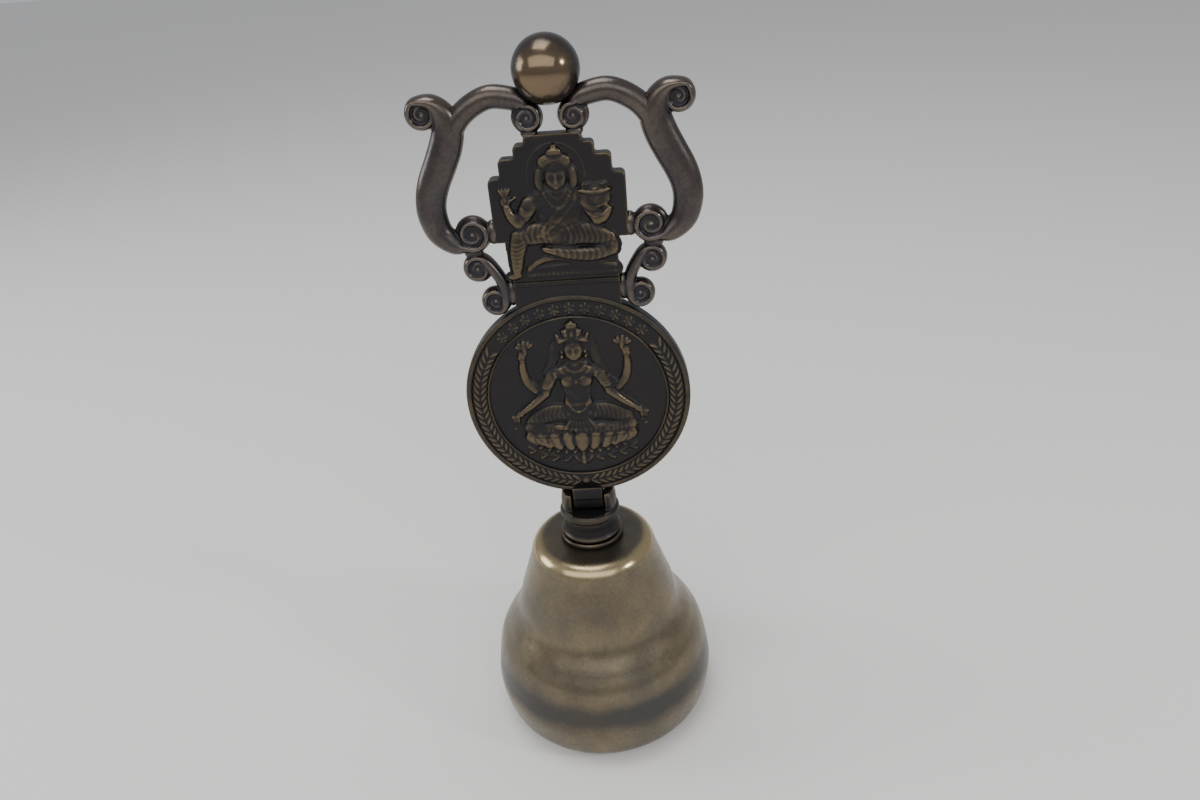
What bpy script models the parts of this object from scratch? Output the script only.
"""A brass puja bell: a cast bell with a hanging clapper, under a flat cast handle.

The handle is a round medallion on a neck ferrule, a stepped plaque above it, a pair of
lyre-shaped scroll arms round the plaque, and a ball on top. Lengths are in metres, +Z is up,
the origin is the middle of the bell's rim, and the handle's front faces -Y.
"""

import math

import bmesh
import bpy
from mathutils import Matrix, Vector

GAP = 0.0003  # left between two pieces that touch

# Bell
RIM_RADIUS = 0.0210
BELLY_RADIUS = 0.0243
BELLY_HEIGHT = 0.0085
WAIST_RADIUS = 0.0180
WAIST_HEIGHT = 0.0268
SHOULDER_RADIUS = 0.0134
SHOULDER_ROUND = 0.0035
BELL_HEIGHT = 0.0446
BELL_WALL = 0.0015

# Fixings inside the bell
STUD_RADIUS = 0.0020
INNER_WASHER_RADIUS = 0.0050
INNER_WASHER_THICKNESS = 0.0008
NUT_ACROSS_FLATS = 0.0070
NUT_HEIGHT = 0.0032
TAB_LENGTH = 0.0056
TAB_WIDTH = 0.0050
TAB_THICKNESS = 0.0020
TAB_HOLE_RADIUS = 0.0016

# Clapper
WIRE_RADIUS = 0.00065
LINK_LOOP_RADIUS = 0.0026
ROD_RADIUS = 0.0009
ROD_EYE_RADIUS = 0.0022
CLAPPER_BALL_RADIUS = 0.0050
CLAPPER_BALL_HEIGHT = 0.0086
PEENED_END_RADIUS = 0.0019
PEENED_END_HEIGHT = 0.0009

# Neck
SEAT_WASHER_RADIUS = 0.0067
SEAT_WASHER_THICKNESS = 0.0011
FERRULE_HEIGHT = 0.0061
FERRULE_RADIUS = 0.0063
FERRULE_WAIST_RADIUS = 0.0058
FERRULE_LIP_HEIGHT = 0.0018
CUP_DEPTH = 0.0007
CUP_LIP_WIDTH = 0.0009
EAR_RADIUS = 0.0058
SLOT_DEPTH = 0.0024
NECK_RISE = 0.0040  # from the ferrule's lip to the medallion's lowest point

# Medallion
MEDALLION_RADIUS = 0.0220
MEDALLION_THICKNESS = 0.0032
RIM_WIDTH = 0.0012
BORDER_WIDTH = 0.0030
RING_WIDTH = 0.0005
BORDER_RECESS = 0.0004
FIELD_RECESS = 0.0006
RELIEF_HEIGHT = 0.0011
TANG_WIDTH = 0.0062
TANG_THICKNESS = 0.0030
TENON_WIDTH = 0.0050
TENON_THICKNESS = 0.0020
SHELF_RISE = 0.0030

# Stepped plaque: the half width of each step, and the height it reaches above the shelf
PLAQUE_THICKNESS = 0.0026
PLAQUE_HALF_WIDTH = 0.0120
PLAQUE_STEPS = (
    (-0.0022, 0.0073),
    (0.0, 0.0189),
    (-0.0022, 0.0222),
    (-0.0050, 0.0244),
    (-0.0070, 0.0260),
)
PLAQUE_CORNER = 0.0009

# Scrolls
BRACKET_VOLUTE_RADIUS = 0.0030
BRACKET_LEAN = 0.0025
BRACKET_PITCH = 0.0064
BRACKET_STROKE = 0.0011
BRACKET_THICKNESS = 0.0034
ARM_VOLUTE_RADIUS = 0.0036
ARM_TOP_VOLUTE_RADIUS = 0.0031
ARM_THICKNESS = 0.0046
VOLUTE_THICKNESS = 0.0038
CROWN_VOLUTE_RADIUS = 0.0024
CROWN_VOLUTE_X = 0.0039
CROWN_STROKE = 0.0020
CROWN_THICKNESS = 0.0040
FINIAL_RADIUS = 0.0057

# The scroll arm's centre line from its lower volute: sideways, up, and half its width there
ARM_LINE = (
    (0.0002, -0.0025, 0.0013),
    (0.0033, -0.0019, 0.0019),
    (0.0058, 0.0003, 0.0024),
    (0.00675, 0.0034, 0.00265),
    (0.0066, 0.0064, 0.00275),
    (0.0056, 0.0094, 0.00285),
    (0.0039, 0.0127, 0.0029),
    (0.0024, 0.0159, 0.0029),
    (0.0017, 0.0187, 0.0027),
    (0.0023, 0.0213, 0.0021),
    (0.0040, 0.0231, 0.0014),
    (0.0056, 0.0234, 0.0011),
)
ARM_TOP_VOLUTE = (0.0056, 0.0213)
CROWN_JOINT = 8  # the point of that line where the crown arm meets it

# Levels and places that follow from the sizes above
CROWN_INSIDE = BELL_HEIGHT - BELL_WALL
BORE_RADIUS = STUD_RADIUS + GAP
SEAT_WASHER_BOTTOM = BELL_HEIGHT + GAP
FERRULE_BOTTOM = SEAT_WASHER_BOTTOM + SEAT_WASHER_THICKNESS + GAP
FERRULE_TOP = FERRULE_BOTTOM + FERRULE_HEIGHT
SLOT_BOTTOM = FERRULE_TOP - SLOT_DEPTH
STUD_TOP = SLOT_BOTTOM - 2 * GAP
INNER_WASHER_TOP = CROWN_INSIDE - GAP
NUT_TOP = INNER_WASHER_TOP - INNER_WASHER_THICKNESS - GAP
NUT_BOTTOM = NUT_TOP - NUT_HEIGHT
TAB_BOTTOM = NUT_BOTTOM - TAB_LENGTH
TAB_HOLE_HEIGHT = TAB_BOTTOM + TAB_HOLE_RADIUS + WIRE_RADIUS
LOOP_SAG = LINK_LOOP_RADIUS - math.sqrt(LINK_LOOP_RADIUS**2 - (TAB_THICKNESS / 2) ** 2)
LINK_PIVOT = TAB_HOLE_HEIGHT - TAB_HOLE_RADIUS + WIRE_RADIUS + LOOP_SAG + GAP
LINK_TOP_LOOP = LINK_PIVOT - LINK_LOOP_RADIUS
LINK_LOW_LOOP = LINK_TOP_LOOP - 2 * LINK_LOOP_RADIUS
CLAPPER_PIVOT = LINK_LOW_LOOP - LINK_LOOP_RADIUS
ROD_EYE_HEIGHT = CLAPPER_PIVOT + 2 * WIRE_RADIUS + GAP - ROD_EYE_RADIUS

MEDALLION_HEIGHT = FERRULE_TOP + NECK_RISE + MEDALLION_RADIUS
SHELF_TOP = MEDALLION_HEIGHT + MEDALLION_RADIUS + SHELF_RISE
SHELF_HALF_WIDTH = PLAQUE_HALF_WIDTH + PLAQUE_STEPS[0][0]
PLAQUE_BOTTOM = SHELF_TOP + GAP
PLAQUE_TOP = PLAQUE_BOTTOM + PLAQUE_STEPS[-1][1]


def above(height, radii, sideways):
    """The height of a round thing that touches another at this height, and lies to one side."""
    return height + math.sqrt(max((radii + GAP) ** 2 - sideways**2, 0.0))


ARM_X = PLAQUE_HALF_WIDTH + GAP + ARM_VOLUTE_RADIUS
BRACKET_X = SHELF_HALF_WIDTH + 2 * GAP + BRACKET_VOLUTE_RADIUS
BRACKET_LOW = above(MEDALLION_HEIGHT, MEDALLION_RADIUS + BRACKET_VOLUTE_RADIUS, BRACKET_X)
BRACKET_HIGH = BRACKET_LOW + BRACKET_PITCH
BRACKET_HIGH_X = BRACKET_X + BRACKET_LEAN
ARM_LOW = above(BRACKET_HIGH, BRACKET_VOLUTE_RADIUS + ARM_VOLUTE_RADIUS, BRACKET_HIGH_X - ARM_X)
CROWN_VOLUTE_HEIGHT = PLAQUE_TOP + GAP + CROWN_VOLUTE_RADIUS
FINIAL_HEIGHT = above(CROWN_VOLUTE_HEIGHT, CROWN_VOLUTE_RADIUS + FINIAL_RADIUS, CROWN_VOLUTE_X)

BRASS = ("brass", ((0.30, 0.25, 0.16), 0.32))
DARK_BRASS = ("dark brass", ((0.16, 0.14, 0.11), 0.42))
STEEL = ("steel", ((0.45, 0.44, 0.42), 0.38))


def material(name, finish):
    """A metallic Principled material, made once for each name."""
    made = bpy.data.materials.get(name) or bpy.data.materials.new(name)
    made.use_nodes = True
    colour, roughness = finish
    shader = made.node_tree.nodes["Principled BSDF"]
    shader.inputs["Base Color"].default_value = (*colour, 1.0)
    shader.inputs["Roughness"].default_value = roughness
    shader.inputs["Metallic"].default_value = 1.0
    made.diffuse_color = (*colour, 1.0)
    return made


def finished(name, bm, finish, place=(0.0, 0.0, 0.0)):
    """Turns a bmesh into a named, smooth-shaded object at its place."""
    bmesh.ops.remove_doubles(bm, verts=bm.verts, dist=1e-7)
    bmesh.ops.recalc_face_normals(bm, faces=bm.faces)
    mesh = bpy.data.meshes.new(name)
    bm.to_mesh(mesh)
    bm.free()
    mesh.shade_smooth()
    mesh.set_sharp_from_angle(angle=math.radians(35))
    mesh.materials.append(material(*finish))
    obj = bpy.data.objects.new(name, mesh)
    obj.location = place
    bpy.context.scene.collection.objects.link(obj)
    return obj


def combine(target, tool, operation):
    """Adds an exact Boolean to target, and keeps its tool out of the model."""
    tool.hide_render = True
    tool.display_type = "WIRE"
    step = target.modifiers.new(f"{operation} {tool.name}", "BOOLEAN")
    step.operation = operation
    step.solver = "EXACT"
    step.use_self = True
    step.object = tool
    return target


def smooth_line(points, steps):
    """Points along the Catmull-Rom curve through these points, each a tuple of any length."""
    line = [Vector(p) for p in points]
    line = [2 * line[0] - line[1], *line, 2 * line[-1] - line[-2]]
    out = []
    for a, b, c, d in zip(line, line[1:], line[2:], line[3:]):
        for i in range(steps):
            t = i / steps
            bend = (2 * b, (c - a) * t, (2 * a - 5 * b + 4 * c - d) * t**2)
            out.append((bend[0] + bend[1] + bend[2] + (3 * b - a - 3 * c + d) * t**3) / 2)
    return [*out, line[-2]]


def arc(centre, radius, start, end, steps):
    """Points (r, z) on a circle's arc, both ends included, its angles in degrees."""
    turns = [math.radians(start + (end - start) * i / steps) for i in range(steps + 1)]
    return [(centre[0] + radius * math.cos(a), centre[1] + radius * math.sin(a)) for a in turns]


def turned(name, profile, finish, segments=32, place=(0.0, 0.0, 0.0), along="Z"):
    """A solid of revolution about Z or Y from a profile of (radius, height) points.

    A profile that starts and ends on the axis is left open there, and any other is closed.
    """
    bm = bmesh.new()
    verts = [bm.verts.new((r, 0.0, z)) for r, z in profile]
    on_axis = profile[0][0] < 1e-9 and profile[-1][0] < 1e-9
    pairs = list(zip(verts, verts[1:])) if on_axis else list(zip(verts, verts[1:] + verts[:1]))
    edges = [bm.edges.new(pair) for pair in pairs]
    bmesh.ops.spin(
        bm, geom=verts + edges, cent=(0, 0, 0), axis=(0, 0, 1),
        angle=2 * math.pi, steps=segments, use_merge=True,
    )
    if along == "Y":
        bmesh.ops.transform(bm, matrix=Matrix.Rotation(math.radians(90), 4, "X"), verts=bm.verts)
    return finished(name, bm, finish, place)


def plate(name, outline, depth, finish, y_middle=0.0):
    """A flat plate, its outline (x, z) in the handle's plane and its depth along Y."""
    bm = bmesh.new()
    face = bm.faces.new([bm.verts.new((x, y_middle - depth / 2, z)) for x, z in outline])
    grown = bmesh.ops.extrude_face_region(bm, geom=[face])["geom"]
    moved = [v for v in grown if isinstance(v, bmesh.types.BMVert)]
    bmesh.ops.translate(bm, verts=moved, vec=(0, depth, 0))
    return finished(name, bm, finish)


def block(name, low, high, finish):
    """A box between two corners."""
    bm = bmesh.new()
    bmesh.ops.create_cube(bm, size=1.0)
    size = Vector(high) - Vector(low)
    middle = (Vector(high) + Vector(low)) / 2
    bmesh.ops.scale(bm, vec=size, verts=bm.verts)
    bmesh.ops.translate(bm, vec=middle, verts=bm.verts)
    return finished(name, bm, finish)


def stroke(name, line, depth, finish, sides=10):
    """A tube of oval section along a line of (x, z, half width) points in the handle's plane."""
    bm = bmesh.new()
    rings = []
    for i, point in enumerate(line):
        before, after = line[max(i - 1, 0)], line[min(i + 1, len(line) - 1)]
        along = Vector((after[0] - before[0], after[1] - before[1])).normalized()
        ring = []
        for s in range(sides):
            turn = 2 * math.pi * s / sides
            across = point[2] * math.cos(turn)
            x, z = point[0] - along.y * across, point[1] + along.x * across
            ring.append(bm.verts.new((x, depth / 2 * math.sin(turn), z)))
        rings.append(ring)
    for low, high in zip(rings, rings[1:]):
        for s in range(sides):
            bm.faces.new((low[s], low[s - 1], high[s - 1], high[s]))
    bm.faces.new(rings[0])
    bm.faces.new(rings[-1])
    return finished(name, bm, finish)


def button(name, x, z, radius, depth, finish):
    """A round volute body lying in the handle's plane, its edges rounded."""
    round_off = min(radius, depth) * 0.3
    half = depth / 2
    profile = [(0.0, -half)]
    profile += arc((radius - round_off, -half + round_off), round_off, -90, 0, 2)
    profile += arc((radius - round_off, half - round_off), round_off, 0, 90, 2)
    profile += [(0.0, half)]
    return turned(name, profile, finish, 20, (x, 0.0, z), along="Y")


def torus(name, radius, wire, finish, place, plane):
    """A ring of round wire standing in the XZ or the YZ plane."""
    profile = arc((radius, 0.0), wire, 0, 315, 7)
    ring = turned(name, profile, finish, 20, place, along="Y")
    if plane == "YZ":
        ring.rotation_euler = (0.0, 0.0, math.radians(90))
    return ring


def between(a, b, share):
    """The value a share of the way from a to b."""
    return a + (b - a) * share


def bell_profile():
    """The bell's closed section: up the outside, over the crown, and down the inside."""
    shoulder = BELL_HEIGHT - SHOULDER_ROUND
    side = [
        (RIM_RADIUS, 0.0),
        (between(RIM_RADIUS, BELLY_RADIUS, 0.66), BELLY_HEIGHT * 0.36),
        (BELLY_RADIUS, BELLY_HEIGHT),
        (between(BELLY_RADIUS, WAIST_RADIUS, 0.05), between(BELLY_HEIGHT, WAIST_HEIGHT, 0.22)),
        (between(BELLY_RADIUS, WAIST_RADIUS, 0.24), between(BELLY_HEIGHT, WAIST_HEIGHT, 0.56)),
        (between(BELLY_RADIUS, WAIST_RADIUS, 0.59), between(BELLY_HEIGHT, WAIST_HEIGHT, 0.78)),
        (WAIST_RADIUS, WAIST_HEIGHT),
        (between(WAIST_RADIUS, SHOULDER_RADIUS, 0.28), between(WAIST_HEIGHT, shoulder, 0.31)),
        (SHOULDER_RADIUS, shoulder),
    ]
    rounded = arc((SHOULDER_RADIUS - SHOULDER_ROUND, shoulder), SHOULDER_ROUND, 10, 90, 4)
    outside = [tuple(p) for p in smooth_line(side, 2)][:-1] + rounded
    inside = []
    for before, here, after in zip(outside, outside[1:], outside[2:]):
        along = (Vector(after) - Vector(before)).normalized()
        inside.append((here[0] - along.y * BELL_WALL, here[1] + along.x * BELL_WALL))
    inside = [p for p in inside if 0.0 < p[1] < CROWN_INSIDE - BELL_WALL / 10]
    foot = (RIM_RADIUS - BELL_WALL, 0.0)
    crown = [(BORE_RADIUS, BELL_HEIGHT), (BORE_RADIUS, CROWN_INSIDE)]
    corner = (rounded[-1][0] - BELL_WALL / 2, CROWN_INSIDE)
    return [*outside, *crown, corner, *reversed(inside), foot]


def make_bell():
    """The bell with the brass washer that seats the neck on its crown."""
    turned("bell_cup", bell_profile(), BRASS, 40)
    ring = [
        (BORE_RADIUS, 0.0),
        (SEAT_WASHER_RADIUS - SEAT_WASHER_THICKNESS / 2, 0.0),
        *arc((SEAT_WASHER_RADIUS - SEAT_WASHER_THICKNESS / 2, SEAT_WASHER_THICKNESS / 2),
             SEAT_WASHER_THICKNESS / 2, -60, 60, 4),
        (SEAT_WASHER_RADIUS - SEAT_WASHER_THICKNESS / 2, SEAT_WASHER_THICKNESS),
        (BORE_RADIUS, SEAT_WASHER_THICKNESS),
    ]
    turned("seat_washer", ring, DARK_BRASS, 32, (0, 0, SEAT_WASHER_BOTTOM))


def make_fixings():
    """The stud through the crown, with its flat drilled tab, and the washer and nut on it."""
    washer = [
        (BORE_RADIUS, -INNER_WASHER_THICKNESS),
        (INNER_WASHER_RADIUS, -INNER_WASHER_THICKNESS),
        (INNER_WASHER_RADIUS, 0.0),
        (BORE_RADIUS, 0.0),
    ]
    turned("inner_washer", washer, STEEL, 28, (0, 0, INNER_WASHER_TOP))

    hexagon = bmesh.new()
    corner = NUT_ACROSS_FLATS / math.sqrt(3)
    bmesh.ops.create_cone(
        hexagon, cap_ends=True, segments=6, radius1=corner, radius2=corner, depth=NUT_HEIGHT
    )
    nut = finished("hex_nut", hexagon, STEEL, (0, 0, (NUT_TOP + NUT_BOTTOM) / 2))
    reach = NUT_HEIGHT
    bore = [(0.0, -reach), (BORE_RADIUS, -reach), (BORE_RADIUS, reach), (0.0, reach)]
    combine(nut, turned("nut_bore", bore, STEEL, 24, nut.location), "DIFFERENCE")

    shank_foot = NUT_BOTTOM - GAP
    shank = [(0.0, shank_foot), (STUD_RADIUS, shank_foot), (STUD_RADIUS, STUD_TOP), (0.0, STUD_TOP)]
    stud = turned("hanger_stud", shank, STEEL, 24)
    half = (TAB_WIDTH / 2, TAB_THICKNESS / 2)
    tab = block(
        "stud_tab", (-half[0], -half[1], TAB_BOTTOM), (half[0], half[1], NUT_BOTTOM - GAP / 2), STEEL
    )
    combine(stud, tab, "UNION")
    hole = [
        (0.0, -TAB_WIDTH),
        (TAB_HOLE_RADIUS, -TAB_WIDTH),
        (TAB_HOLE_RADIUS, TAB_WIDTH),
        (0.0, TAB_WIDTH),
    ]
    drill = turned("tab_hole", hole, STEEL, 24, (0, 0, TAB_HOLE_HEIGHT), along="Y")
    combine(stud, drill, "DIFFERENCE")


def make_clapper():
    """The twisted link that hangs from the stud, and the rod and ball that hang from the link."""
    top = (0, 0, LINK_TOP_LOOP)
    low = (0, 0, LINK_LOW_LOOP)
    link = torus("clapper_link", LINK_LOOP_RADIUS, WIRE_RADIUS, BRASS, top, "YZ")
    combine(link, torus("link_low_loop", LINK_LOOP_RADIUS, WIRE_RADIUS, BRASS, low, "XZ"), "UNION")

    rod_top = ROD_EYE_HEIGHT - ROD_EYE_RADIUS + WIRE_RADIUS / 2
    end_top = CLAPPER_BALL_HEIGHT - CLAPPER_BALL_RADIUS + GAP
    end_bottom = end_top - PEENED_END_HEIGHT
    shaft = [
        (0.0, end_bottom),
        (PEENED_END_RADIUS * 0.7, end_bottom),
        (PEENED_END_RADIUS, (end_bottom + end_top) / 2),
        (PEENED_END_RADIUS, end_top),
        (ROD_RADIUS, end_top),
        (ROD_RADIUS, rod_top),
        (0.0, rod_top),
    ]
    rod = turned("clapper_rod", shaft, BRASS, 20)
    eye = torus("rod_eye", ROD_EYE_RADIUS, WIRE_RADIUS, BRASS, (0, 0, ROD_EYE_HEIGHT), "YZ")
    combine(rod, eye, "UNION")

    bore = ROD_RADIUS + GAP
    flat = end_top + GAP - CLAPPER_BALL_HEIGHT
    start = math.degrees(math.asin(flat / CLAPPER_BALL_RADIUS))
    end = math.degrees(math.acos(bore / CLAPPER_BALL_RADIUS))
    ball = [(bore, flat), *arc((0.0, 0.0), CLAPPER_BALL_RADIUS, start, end, 10)]
    turned("clapper_ball", ball, BRASS, 24, (0, 0, CLAPPER_BALL_HEIGHT))


def make_ferrule():
    """The turned neck piece: a waist, a ringed cup, and two ears that stand beside the tang."""
    bead = FERRULE_LIP_HEIGHT / 2
    lip_middle = FERRULE_HEIGHT - bead
    ear_top = FERRULE_HEIGHT + NECK_RISE + RIM_WIDTH / 2
    profile = [
        (0.0, 0.0),
        (FERRULE_RADIUS, 0.0),
        (FERRULE_WAIST_RADIUS, bead),
        (FERRULE_WAIST_RADIUS, FERRULE_HEIGHT - FERRULE_LIP_HEIGHT),
        *arc((FERRULE_RADIUS - bead, lip_middle), bead, -60, 60, 4),
        (EAR_RADIUS, FERRULE_HEIGHT + bead),
        (EAR_RADIUS * 0.9, ear_top),
        (0.0, ear_top),
    ]
    ferrule = turned("neck_ferrule", profile, DARK_BRASS, 32, (0, 0, FERRULE_BOTTOM))
    reach = (FERRULE_HEIGHT + NECK_RISE) * 2
    top = STUD_TOP + GAP
    bore = [(0.0, -reach), (BORE_RADIUS, -reach), (BORE_RADIUS, top), (0.0, top)]
    mortise = (TENON_WIDTH / 2 + GAP, TENON_THICKNESS / 2 + GAP)
    cup_half = math.sqrt((FERRULE_RADIUS - CUP_LIP_WIDTH) ** 2 - (TANG_WIDTH / 2) ** 2)
    seat_radius = MEDALLION_RADIUS + GAP
    seat = [(0.0, -reach), (seat_radius, -reach), (seat_radius, reach), (0.0, reach)]
    cutters = (
        turned("ferrule_bore", bore, STEEL, 24),
        cut_block("ear_gap", TANG_WIDTH / 2 + GAP, reach, FERRULE_TOP),
        cut_block("cup_recess", TANG_WIDTH / 2, cup_half, FERRULE_TOP - CUP_DEPTH),
        cut_block("tang_mortise", *mortise, SLOT_BOTTOM),
        turned("medallion_seat", seat, STEEL, 96, (0, 0, MEDALLION_HEIGHT), along="Y"),
    )
    for cutter in cutters:
        combine(ferrule, cutter, "DIFFERENCE")


def cut_block(name, half_x, half_y, bottom):
    """A block that cuts everything above a level, centred on the neck."""
    top = MEDALLION_HEIGHT
    return block(name, (-half_x, -half_y, bottom), (half_x, half_y, top), STEEL)


def make_medallion():
    """The medallion with its raised rim and ring, the shelf on top and the tang below."""
    half = MEDALLION_THICKNESS / 2
    ring = MEDALLION_RADIUS - RIM_WIDTH - BORDER_WIDTH
    field = ring - RING_WIDTH
    front = [
        (0.0, half - FIELD_RECESS),
        (field, half - FIELD_RECESS),
        (field + RING_WIDTH / 4, half),
        (ring, half),
        (ring + RING_WIDTH / 4, half - BORDER_RECESS),
        (MEDALLION_RADIUS - RIM_WIDTH, half - BORDER_RECESS),
        (MEDALLION_RADIUS - RIM_WIDTH * 0.8, half),
        (MEDALLION_RADIUS - RIM_WIDTH * 0.25, half),
        (MEDALLION_RADIUS, half - RIM_WIDTH * 0.3),
    ]
    profile = [(r, -y) for r, y in front] + list(reversed(front))
    disc = turned(
        "medallion", profile, DARK_BRASS, 56, (0, 0, MEDALLION_HEIGHT), along="Y"
    )
    shelf_depth = PLAQUE_THICKNESS / 2
    inside = MEDALLION_RADIUS - RIM_WIDTH / 2
    shelf_foot = MEDALLION_HEIGHT + math.sqrt(inside**2 - SHELF_HALF_WIDTH**2)
    shelf = block(
        "shelf", (-SHELF_HALF_WIDTH, -shelf_depth, shelf_foot - RIM_WIDTH / 4),
        (SHELF_HALF_WIDTH, shelf_depth, SHELF_TOP), DARK_BRASS,
    )
    trim = inside - RIM_WIDTH / 4
    field_cut = turned(
        "shelf_trim", [(0.0, -half), (trim, -half), (trim, half), (0.0, half)],
        DARK_BRASS, 56, (0, 0, MEDALLION_HEIGHT), along="Y",
    )
    combine(shelf, field_cut, "DIFFERENCE")
    combine(disc, shelf, "UNION")
    tang_top = MEDALLION_HEIGHT - MEDALLION_RADIUS + RIM_WIDTH * 0.8
    tang = block(
        "tang", (-TANG_WIDTH / 2, -TANG_THICKNESS / 2, FERRULE_TOP + GAP),
        (TANG_WIDTH / 2, TANG_THICKNESS / 2, tang_top), DARK_BRASS,
    )
    combine(disc, tang, "UNION")
    tenon = block(
        "tenon", (-TENON_WIDTH / 2, -TENON_THICKNESS / 2, SLOT_BOTTOM + GAP),
        (TENON_WIDTH / 2, TENON_THICKNESS / 2, FERRULE_TOP + 2 * GAP), DARK_BRASS,
    )
    combine(disc, tenon, "UNION")


def make_medallion_reliefs():
    """The goddess on her lotus on the front, and an eight-petalled rosette on the back."""
    field = MEDALLION_RADIUS - RIM_WIDTH - BORDER_WIDTH - RING_WIDTH
    right_side = (
        (0.0, 0.85), (0.16, 0.70), (0.19, 0.48), (0.14, 0.38), (0.34, 0.28),
        (0.50, 0.50), (0.58, 0.42), (0.40, 0.02), (0.62, -0.24), (0.66, -0.38),
        (0.52, -0.56), (0.40, -0.70), (0.56, -0.76), (0.30, -0.88), (0.0, -0.92),
    )
    left_side = [(-x, z) for x, z in reversed(right_side[1:-1])]
    figure = [(x * field, MEDALLION_HEIGHT + z * field) for x, z in [*right_side, *left_side]]
    floor = MEDALLION_THICKNESS / 2 - FIELD_RECESS + GAP
    middle = floor + RELIEF_HEIGHT / 2
    plate("goddess_relief", figure, RELIEF_HEIGHT, DARK_BRASS, -middle)
    petals = []
    for i in range(64):
        turn = 2 * math.pi * i / 64
        radius = field * (0.55 + 0.30 * abs(math.cos(4 * turn)))
        petals.append((radius * math.cos(turn), MEDALLION_HEIGHT + radius * math.sin(turn)))
    plate("back_rosette", petals, RELIEF_HEIGHT, DARK_BRASS, middle)


def plaque_outline():
    """The stepped outline of the plaque, each upper step with a rounded outer corner."""
    base_half = PLAQUE_HALF_WIDTH + PLAQUE_STEPS[0][0]
    level = PLAQUE_BOTTOM + PLAQUE_STEPS[0][1]
    right = [(base_half, PLAQUE_BOTTOM), (base_half, level)]
    for inset, height in PLAQUE_STEPS[1:]:
        half = PLAQUE_HALF_WIDTH + inset
        top = PLAQUE_BOTTOM + height
        right.append((half, level))
        right += arc((half - PLAQUE_CORNER, top - PLAQUE_CORNER), PLAQUE_CORNER, 0, 90, 3)
        level = top
    return [*right, *[(-x, z) for x, z in reversed(right)]]


def make_plaque():
    """The stepped plaque and the seated figure on its front."""
    plate("stepped_plaque", plaque_outline(), PLAQUE_THICKNESS, DARK_BRASS)
    width = PLAQUE_HALF_WIDTH
    height = PLAQUE_TOP - PLAQUE_BOTTOM
    outline = (
        (0.0, 0.90), (0.22, 0.86), (0.27, 0.66), (0.20, 0.60), (0.36, 0.54), (0.42, 0.64),
        (0.78, 0.66), (0.80, 0.46), (0.76, 0.22), (0.70, 0.10), (-0.20, 0.08), (-0.44, 0.04),
        (-0.74, 0.04), (-0.62, 0.20), (-0.78, 0.36), (-0.82, 0.62), (-0.70, 0.66),
        (-0.44, 0.54), (-0.20, 0.60), (-0.27, 0.66), (-0.22, 0.86),
    )
    figure = [(x * width, PLAQUE_BOTTOM + z * height) for x, z in outline]
    middle = PLAQUE_THICKNESS / 2 + GAP + RELIEF_HEIGHT / 2
    plate("seated_figure_relief", figure, RELIEF_HEIGHT, DARK_BRASS, -middle)


def scroll_arm_stroke(name, side, margin):
    """The swelling S stroke of a lyre arm, grown on every side by a margin."""
    line = [(side * (ARM_X + x), ARM_LOW + z, half + margin) for x, z, half in ARM_LINE]
    return stroke(name, smooth_line(line, 2), ARM_THICKNESS + 2 * margin, DARK_BRASS)


def make_scroll_arm(name, side):
    """One lyre arm: its stroke between a lower volute and a smaller one on top."""
    arm = scroll_arm_stroke(name, side, 0.0)
    ends = (
        ("lower", ARM_X, ARM_LOW, ARM_VOLUTE_RADIUS),
        ("top", ARM_X + ARM_TOP_VOLUTE[0], ARM_LOW + ARM_TOP_VOLUTE[1], ARM_TOP_VOLUTE_RADIUS),
    )
    for end, x, z, radius in ends:
        volute = button(f"{name}_{end}_volute", side * x, z, radius, VOLUTE_THICKNESS, DARK_BRASS)
        combine(arm, volute, "UNION")


def make_bracket(name, side):
    """A small C scroll between the medallion's rim and the scroll arm above it."""
    reach = BRACKET_VOLUTE_RADIUS - BRACKET_STROKE
    spine = BRACKET_X - reach
    middle = (BRACKET_LOW + BRACKET_HIGH) / 2
    line = (
        (BRACKET_HIGH_X, BRACKET_HIGH + reach),
        (BRACKET_HIGH_X - reach * 0.9, BRACKET_HIGH + reach * 0.75),
        (spine + BRACKET_LEAN * 0.25, middle + BRACKET_PITCH * 0.2),
        (spine, BRACKET_LOW + reach * 0.5),
        (spine + reach * 0.4, BRACKET_LOW - reach * 0.8),
        (BRACKET_X, BRACKET_LOW - reach),
    )
    drawn = [(side * x, z, BRACKET_STROKE) for x, z in line]
    bracket = stroke(name, smooth_line(drawn, 2), BRACKET_THICKNESS, DARK_BRASS, 10)
    for end, x, z in (("top", BRACKET_HIGH_X, BRACKET_HIGH), ("low", BRACKET_X, BRACKET_LOW)):
        depth = BRACKET_THICKNESS * 0.94
        volute = button(f"{name}_{end}_volute", side * x, z, BRACKET_VOLUTE_RADIUS, depth, DARK_BRASS)
        combine(bracket, volute, "UNION")


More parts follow.
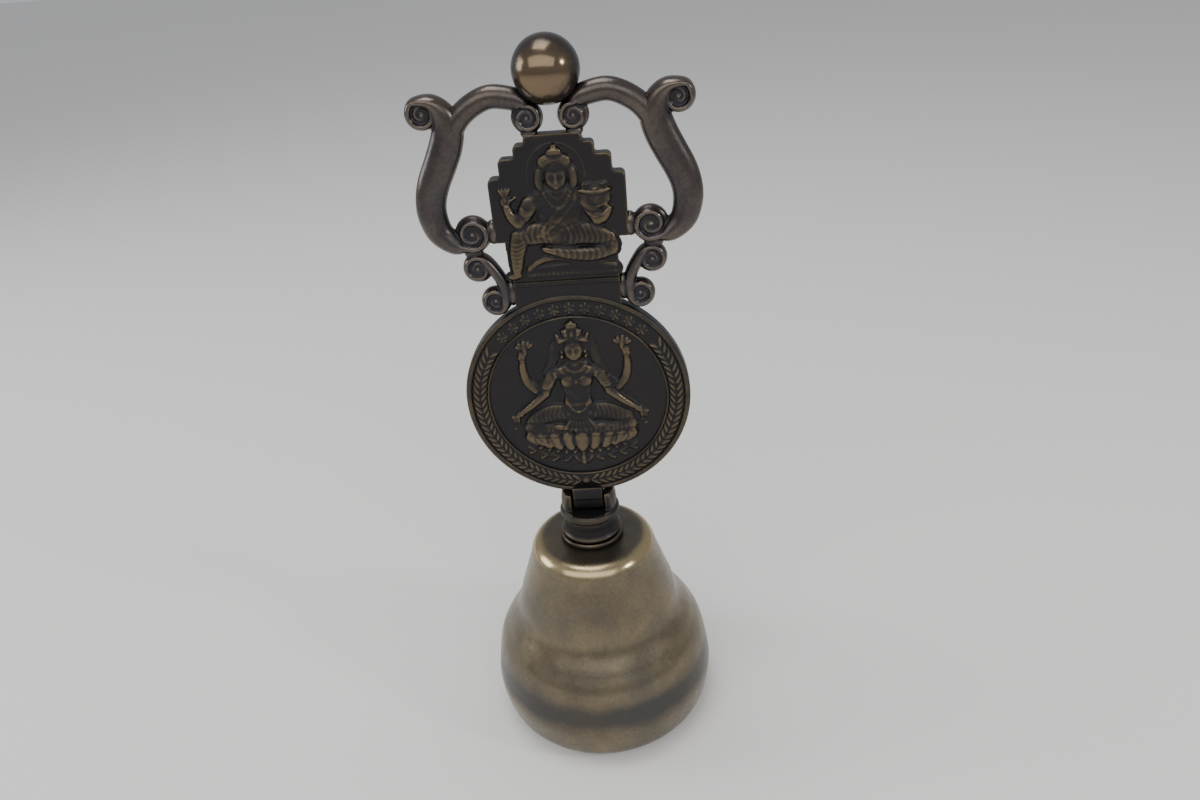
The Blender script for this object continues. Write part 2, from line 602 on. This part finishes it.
def make_crown_arm(name, side):
    """The arm from a scroll arm to the ball, which curls under the ball in a small volute."""
    outer_x = ARM_X + ARM_LINE[CROWN_JOINT][0]
    outer_z = ARM_LOW + ARM_LINE[CROWN_JOINT][1]
    inner_x = CROWN_VOLUTE_X + CROWN_VOLUTE_RADIUS - CROWN_STROKE * 0.5
    inner_z = CROWN_VOLUTE_HEIGHT
    crest_z = inner_z + CROWN_VOLUTE_RADIUS + CROWN_STROKE * 0.6
    line = (
        (outer_x, outer_z, CROWN_STROKE),
        (outer_x * 0.75 + inner_x * 0.25, outer_z * 0.35 + crest_z * 0.65, CROWN_STROKE),
        (outer_x * 0.4 + inner_x * 0.6, crest_z, CROWN_STROKE),
        (inner_x + CROWN_STROKE * 0.3, crest_z * 0.7 + inner_z * 0.3, CROWN_STROKE * 0.9),
        (inner_x, inner_z, CROWN_STROKE * 0.5),
    )
    drawn = [(side * x, z, half) for x, z, half in line]
    arm = stroke(name, smooth_line(drawn, 3), CROWN_THICKNESS, DARK_BRASS)
    volute = button(
        f"{name}_volute", side * CROWN_VOLUTE_X, CROWN_VOLUTE_HEIGHT, CROWN_VOLUTE_RADIUS,
        CROWN_THICKNESS * 0.92, DARK_BRASS,
    )
    combine(arm, volute, "UNION")
    combine(arm, scroll_arm_stroke(f"{name}_trim", side, GAP), "DIFFERENCE")
    clear = FINIAL_RADIUS + GAP
    seat = turned(f"{name}_seat", arc((0, 0), clear, -90, 90, 14), BRASS, 28, (0, 0, FINIAL_HEIGHT))
    combine(arm, seat, "DIFFERENCE")


def make_finial():
    """The ball on top, resting on the two crown volutes."""
    ball = arc((0.0, 0.0), FINIAL_RADIUS, -90, 90, 14)
    turned("finial_ball", ball, BRASS, 28, (0, 0, FINIAL_HEIGHT))


def main():
    for obj in list(bpy.data.objects):
        bpy.data.objects.remove(obj)
    make_bell()
    make_fixings()
    make_clapper()
    make_ferrule()
    make_medallion()
    make_medallion_reliefs()
    make_plaque()
    for side_name, side in (("left", -1), ("right", 1)):
        make_scroll_arm(f"{side_name}_scroll_arm", side)
        make_bracket(f"{side_name}_bracket_scroll", side)
        make_crown_arm(f"{side_name}_crown_arm", side)
    make_finial()


main()
